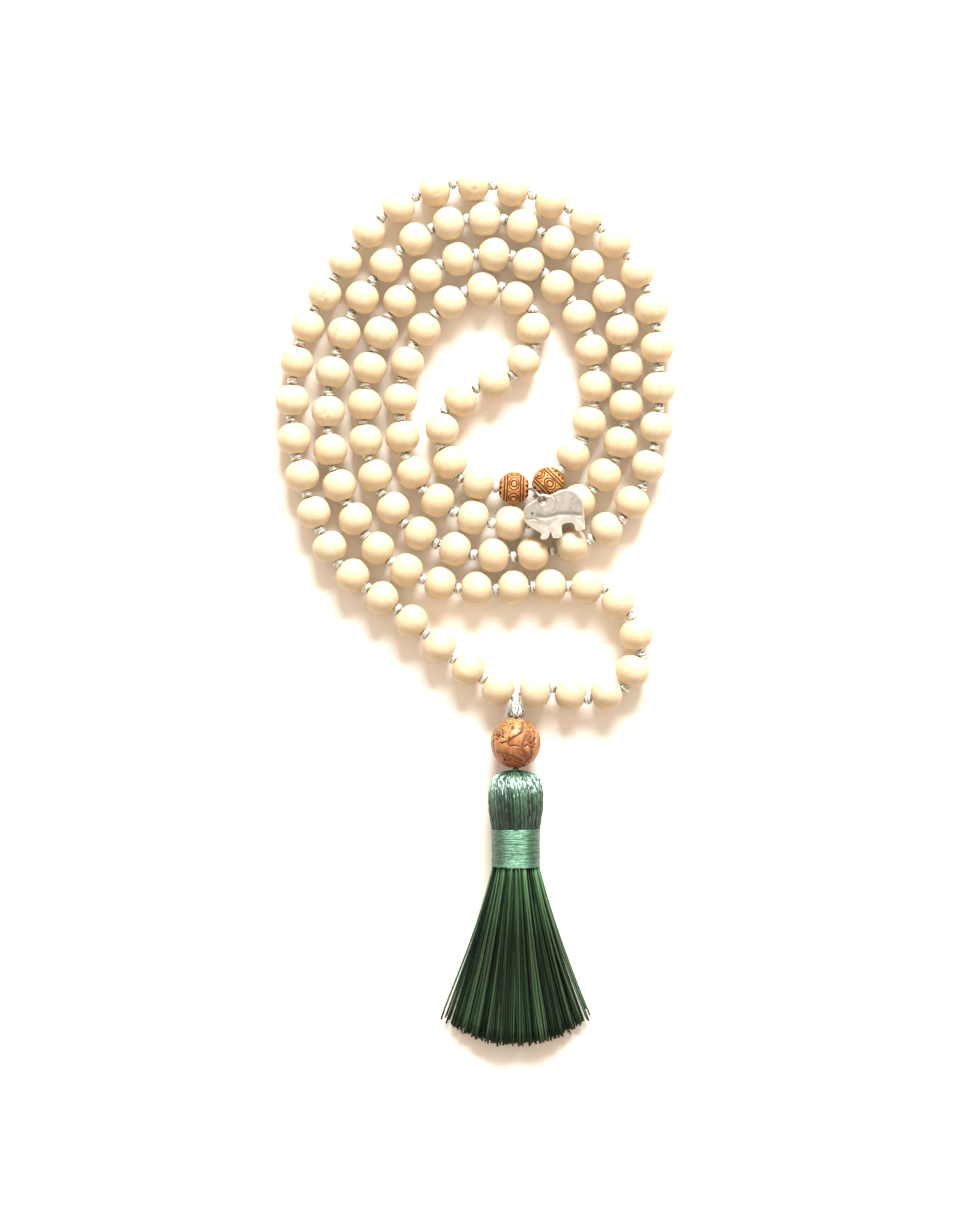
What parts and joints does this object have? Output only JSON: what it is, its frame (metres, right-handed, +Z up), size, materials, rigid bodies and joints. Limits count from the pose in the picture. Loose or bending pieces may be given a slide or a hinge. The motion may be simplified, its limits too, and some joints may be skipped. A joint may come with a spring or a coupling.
{
  "type": "prayer beads",
  "caption": "Knotted string of round wooden prayer beads laid in a double loop, with carved beads, a flat elephant charm, a large guru bead and a bound tassel",
  "frame": {"origin": "on the table plane, at the middle of the laid-out piece's bounding box seen from above", "axes": "+Z up off the table; +Y from the tassel's free end towards the top of the loop; +X to the right seen from above with the tassel towards the viewer"},
  "size_m": [0.0891, 0.1953, 0.0124],
  "materials": {
    "wood": "turned and lightly polished pale wood",
    "carved_wood": "carved orange-brown wood with dark filled grooves",
    "guru_seed": "pitted natural seed, waxed",
    "cord": "dark grey twisted cord with a metallic thread",
    "silver_thread": "grey knots with a silvery metallic thread",
    "silver": "satin silver-coloured metal plate",
    "green_silk": "glossy green silk strands"
  },
  "bodies": {
    "string": {"stringing_cord_left": "cord", "stringing_cord_right": "cord", "charm_cord": "cord", "spacer_knots_left": "silver_thread", "spacer_knots_right": "silver_thread", "wood_beads_left_outer": "wood", "wood_beads_left_inner": "wood", "wood_beads_right_end": "wood"},
    "gathering_knot": {"gathering_knot": "silver_thread"},
    "guru_cord": {"guru_cord": "cord"},
    "guru_bead": {"guru_bead": "guru_seed"},
    "tassel_tie": {"tassel_tie": "green_silk"},
    "tassel": {"tassel_head": "green_silk", "tassel_binding": "green_silk", "tassel_skirt": "green_silk"},
    "carved_bead_left": {"carved_bead_left": "carved_wood"},
    "carved_bead_right": {"carved_bead_right": "carved_wood"},
    "elephant_charm": {"elephant_charm": "silver"},
    "wood_bead_01": {"wood_bead_01": "wood"},
    "wood_bead_02": {"wood_bead_02": "wood"},
    "wood_bead_03": {"wood_bead_03": "wood"},
    "wood_bead_04": {"wood_bead_04": "wood"},
    "wood_bead_05": {"wood_bead_05": "wood"},
    "wood_bead_06": {"wood_bead_06": "wood"},
    "wood_bead_07": {"wood_bead_07": "wood"},
    "wood_bead_08": {"wood_bead_08": "wood"},
    "wood_bead_09": {"wood_bead_09": "wood"},
    "wood_bead_10": {"wood_bead_10": "wood"},
    "wood_bead_11": {"wood_bead_11": "wood"},
    "wood_bead_12": {"wood_bead_12": "wood"},
    "wood_bead_13": {"wood_bead_13": "wood"},
    "wood_bead_14": {"wood_bead_14": "wood"},
    "wood_bead_15": {"wood_bead_15": "wood"},
    "wood_bead_16": {"wood_bead_16": "wood"},
    "wood_bead_17": {"wood_bead_17": "wood"},
    "wood_bead_18": {"wood_bead_18": "wood"},
    "wood_bead_19": {"wood_bead_19": "wood"},
    "wood_bead_20": {"wood_bead_20": "wood"},
    "wood_bead_21": {"wood_bead_21": "wood"},
    "wood_bead_22": {"wood_bead_22": "wood"},
    "wood_bead_23": {"wood_bead_23": "wood"},
    "wood_bead_24": {"wood_bead_24": "wood"},
    "wood_bead_25": {"wood_bead_25": "wood"},
    "wood_bead_26": {"wood_bead_26": "wood"},
    "wood_bead_27": {"wood_bead_27": "wood"},
    "wood_bead_28": {"wood_bead_28": "wood"},
    "wood_bead_29": {"wood_bead_29": "wood"},
    "wood_bead_30": {"wood_bead_30": "wood"},
    "wood_bead_31": {"wood_bead_31": "wood"},
    "wood_bead_32": {"wood_bead_32": "wood"},
    "wood_bead_33": {"wood_bead_33": "wood"},
    "wood_bead_34": {"wood_bead_34": "wood"},
    "wood_bead_35": {"wood_bead_35": "wood"},
    "wood_bead_36": {"wood_bead_36": "wood"},
    "wood_bead_37": {"wood_bead_37": "wood"},
    "wood_bead_38": {"wood_bead_38": "wood"},
    "wood_bead_39": {"wood_bead_39": "wood"},
    "wood_bead_40": {"wood_bead_40": "wood"},
    "wood_bead_41": {"wood_bead_41": "wood"},
    "wood_bead_42": {"wood_bead_42": "wood"}
  },
  "joints": [
    {"name": "gathering_knot_swing", "type": "hinge", "parent": "string", "child": "gathering_knot", "pos_m": [0.0088, -0.02275, 0.0049], "axis": [0, 0, 1], "range_deg": [-30, 30]},
    {"name": "pendant_lift", "type": "hinge", "parent": "gathering_knot", "child": "guru_cord", "pos_m": [0.0088, -0.02275, 0.0049], "axis": [-1, 0, 0], "range_deg": [0, 90]},
    {"name": "guru_bead_spin", "type": "hinge", "parent": "guru_cord", "child": "guru_bead", "pos_m": [0.0088, -0.0303, 0.00555], "axis": [0, 1, 0], "continuous": true},
    {"name": "tassel_swing", "type": "hinge", "parent": "guru_cord", "child": "tassel_tie", "pos_m": [0.0088, -0.0361, 0.00588], "axis": [0, 0, 1], "range_deg": [-25, 25]},
    {"name": "tassel_lift", "type": "hinge", "parent": "tassel_tie", "child": "tassel", "pos_m": [0.0088, -0.0361, 0.00588], "axis": [-1, 0, 0], "range_deg": [0, 25]},
    {"name": "charm_lift", "type": "hinge", "parent": "string", "child": "elephant_charm", "pos_m": [0.0141, 0.0243, 0.0084], "axis": [-0.7771, -0.6293, 0], "range_deg": [0, 110]},
    {"name": "carved_bead_left_spin", "type": "hinge", "parent": "string", "child": "carved_bead_left", "pos_m": [0.0084, 0.02635, 0.00362], "axis": [-0.9993, 0.0384, 0], "continuous": true},
    {"name": "carved_bead_right_spin", "type": "hinge", "parent": "string", "child": "carved_bead_right", "pos_m": [0.01602, 0.02752, 0.00362], "axis": [-0.7071, -0.7071, 0], "continuous": true},
    {"name": "wood_bead_01_spin", "type": "hinge", "parent": "string", "child": "wood_bead_01", "pos_m": [0.0005, 0.0275, 0.0039], "axis": [-0.9701, 0.2425, 0], "continuous": true},
    {"name": "wood_bead_02_spin", "type": "hinge", "parent": "string", "child": "wood_bead_02", "pos_m": [-0.00575, 0.032, 0.0039], "axis": [-0.5408, 0.8412, 0], "continuous": true},
    {"name": "wood_bead_03_spin", "type": "hinge", "parent": "string", "child": "wood_bead_03", "pos_m": [-0.0075, 0.0395, 0.0039], "axis": [0.124, 0.9923, 0], "continuous": true},
    {"name": "wood_bead_04_spin", "type": "hinge", "parent": "string", "child": "wood_bead_04", "pos_m": [-0.0035, 0.046, 0.0039], "axis": [0.8137, 0.5812, 0], "continuous": true},
    {"name": "wood_bead_05_spin", "type": "hinge", "parent": "string", "child": "wood_bead_05", "pos_m": [0.004, 0.05, 0.0039], "axis": [0.9363, 0.3511, 0], "continuous": true},
    {"name": "wood_bead_06_spin", "type": "hinge", "parent": "string", "child": "wood_bead_06", "pos_m": [0.0105, 0.0545, 0.0039], "axis": [0.6402, 0.7682, 0], "continuous": true},
    {"name": "wood_bead_07_spin", "type": "hinge", "parent": "string", "child": "wood_bead_07", "pos_m": [0.01275, 0.06175, 0.0039], "axis": [-0.0587, 0.9983, 0], "continuous": true},
    {"name": "wood_bead_08_spin", "type": "hinge", "parent": "string", "child": "wood_bead_08", "pos_m": [0.009, 0.0685, 0.0039], "axis": [-0.8137, 0.5812, 0], "continuous": true},
    {"name": "wood_bead_09_spin", "type": "hinge", "parent": "string", "child": "wood_bead_09", "pos_m": [0.0015, 0.0705, 0.0039], "axis": [-0.9923, -0.124, 0], "continuous": true},
    {"name": "wood_bead_10_spin", "type": "hinge", "parent": "string", "child": "wood_bead_10", "pos_m": [-0.00583, 0.06754, 0.0039], "axis": [-0.8044, -0.5941, 0], "continuous": true},
    {"name": "wood_bead_11_spin", "type": "hinge", "parent": "string", "child": "wood_bead_11", "pos_m": [-0.01158, 0.06154, 0.0039], "axis": [-0.5645, -0.8255, 0], "continuous": true},
    {"name": "wood_bead_12_spin", "type": "hinge", "parent": "string", "child": "wood_bead_12", "pos_m": [-0.01527, 0.05412, 0.0039], "axis": [-0.3105, -0.9506, 0], "continuous": true},
    {"name": "wood_bead_13_spin", "type": "hinge", "parent": "string", "child": "wood_bead_13", "pos_m": [-0.01677, 0.04612, 0.0039], "axis": [-0.0567, -0.9984, 0], "continuous": true},
    {"name": "wood_bead_14_spin", "type": "hinge", "parent": "string", "child": "wood_bead_14", "pos_m": [-0.01633, 0.03773, 0.0039], "axis": [0.1556, -0.9878, 0], "continuous": true},
    {"name": "wood_bead_15_spin", "type": "hinge", "parent": "string", "child": "wood_bead_15", "pos_m": [-0.01383, 0.02973, 0.0039], "axis": [0.4397, -0.8982, 0], "continuous": true},
    {"name": "wood_bead_16_spin", "type": "hinge", "parent": "string", "child": "wood_bead_16", "pos_m": [-0.00847, 0.02355, 0.0039], "axis": [0.8213, -0.5705, 0], "continuous": true},
    {"name": "wood_bead_17_spin", "type": "hinge", "parent": "string", "child": "wood_bead_17", "pos_m": [-0.00072, 0.0198, 0.0039], "axis": [0.9559, -0.2938, 0], "continuous": true},
    {"name": "wood_bead_18_spin", "type": "hinge", "parent": "string", "child": "wood_bead_18", "pos_m": [0.00762, 0.01853, 0.0039], "axis": [1, 0.0076, 0], "continuous": true},
    {"name": "wood_bead_19_spin", "type": "hinge", "parent": "string", "child": "wood_bead_19", "pos_m": [0.01562, 0.01978, 0.0039], "axis": [0.9539, 0.3, 0], "continuous": true},
    {"name": "wood_bead_20_spin", "type": "hinge", "parent": "string", "child": "wood_bead_20", "pos_m": [0.0228, 0.02344, 0.0039], "axis": [0.8041, 0.5945, 0], "continuous": true},
    {"name": "wood_bead_21_spin", "type": "hinge", "parent": "string", "child": "wood_bead_21", "pos_m": [0.02855, 0.02919, 0.0039], "axis": [0.5951, 0.8036, 0], "continuous": true},
    {"name": "wood_bead_22_spin", "type": "hinge", "parent": "string", "child": "wood_bead_22", "pos_m": [0.03205, 0.03647, 0.0039], "axis": [0.2551, 0.9669, 0], "continuous": true},
    {"name": "wood_bead_23_spin", "type": "hinge", "parent": "string", "child": "wood_bead_23", "pos_m": [0.0333, 0.04472, 0.0039], "axis": [0.0474, 0.9989, 0], "continuous": true},
    {"name": "wood_bead_24_spin", "type": "hinge", "parent": "string", "child": "wood_bead_24", "pos_m": [0.03338, 0.05323, 0.0039], "axis": [-0.0295, 0.9996, 0], "continuous": true},
    {"name": "wood_bead_25_spin", "type": "hinge", "parent": "string", "child": "wood_bead_25", "pos_m": [0.03238, 0.06148, 0.0039], "axis": [-0.2129, 0.9771, 0], "continuous": true},
    {"name": "wood_bead_26_spin", "type": "hinge", "parent": "string", "child": "wood_bead_26", "pos_m": [0.02956, 0.06903, 0.0039], "axis": [-0.481, 0.8767, 0], "continuous": true},
    {"name": "wood_bead_27_spin", "type": "hinge", "parent": "string", "child": "wood_bead_27", "pos_m": [0.02481, 0.07553, 0.0039], "axis": [-0.6877, 0.726, 0], "continuous": true},
    {"name": "wood_bead_28_spin", "type": "hinge", "parent": "string", "child": "wood_bead_28", "pos_m": [0.0182, 0.08084, 0.0039], "axis": [-0.8509, 0.5253, 0], "continuous": true},
    {"name": "wood_bead_29_spin", "type": "hinge", "parent": "string", "child": "wood_bead_29", "pos_m": [0.0102, 0.08459, 0.0039], "axis": [-0.9483, 0.3173, 0], "continuous": true},
    {"name": "wood_bead_30_spin", "type": "hinge", "parent": "string", "child": "wood_bead_30", "pos_m": [0.00191, 0.08609, 0.0039], "axis": [-0.9997, 0.0229, 0], "continuous": true},
    {"name": "wood_bead_31_spin", "type": "hinge", "parent": "string", "child": "wood_bead_31", "pos_m": [-0.00609, 0.08509, 0.0039], "axis": [-0.963, -0.2696, 0], "continuous": true},
    {"name": "wood_bead_32_spin", "type": "hinge", "parent": "string", "child": "wood_bead_32", "pos_m": [-0.0135, 0.08156, 0.0039], "axis": [-0.8206, -0.5715, 0], "continuous": true},
    {"name": "wood_bead_33_spin", "type": "hinge", "parent": "string", "child": "wood_bead_33", "pos_m": [-0.02, 0.07581, 0.0039], "axis": [-0.6713, -0.7412, 0], "continuous": true},
    {"name": "wood_bead_34_spin", "type": "hinge", "parent": "string", "child": "wood_bead_34", "pos_m": [-0.02534, 0.06869, 0.0039], "axis": [-0.5237, -0.8519, 0], "continuous": true},
    {"name": "wood_bead_35_spin", "type": "hinge", "parent": "string", "child": "wood_bead_35", "pos_m": [-0.02934, 0.06069, 0.0039], "axis": [-0.3678, -0.9299, 0], "continuous": true},
    {"name": "wood_bead_36_spin", "type": "hinge", "parent": "string", "child": "wood_bead_36", "pos_m": [-0.03188, 0.05212, 0.0039], "axis": [-0.1961, -0.9806, 0], "continuous": true},
    {"name": "wood_bead_37_spin", "type": "hinge", "parent": "string", "child": "wood_bead_37", "pos_m": [-0.03288, 0.04337, 0.0039], "axis": [-0.0286, -0.9996, 0], "continuous": true},
    {"name": "wood_bead_38_spin", "type": "hinge", "parent": "string", "child": "wood_bead_38", "pos_m": [-0.03238, 0.03486, 0.0039], "axis": [0.1493, -0.9888, 0], "continuous": true},
    {"name": "wood_bead_39_spin", "type": "hinge", "parent": "string", "child": "wood_bead_39", "pos_m": [-0.03037, 0.02686, 0.0039], "axis": [0.3356, -0.942, 0], "continuous": true},
    {"name": "wood_bead_40_spin", "type": "hinge", "parent": "string", "child": "wood_bead_40", "pos_m": [-0.02684, 0.01944, 0.0039], "axis": [0.5178, -0.8555, 0], "continuous": true},
    {"name": "wood_bead_41_spin", "type": "hinge", "parent": "string", "child": "wood_bead_41", "pos_m": [-0.02184, 0.01294, 0.0039], "axis": [0.6955, -0.7185, 0], "continuous": true},
    {"name": "wood_bead_42_spin", "type": "hinge", "parent": "string", "child": "wood_bead_42", "pos_m": [-0.01545, 0.00808, 0.0039], "axis": [0.8792, -0.4764, 0], "continuous": true}
  ]
}
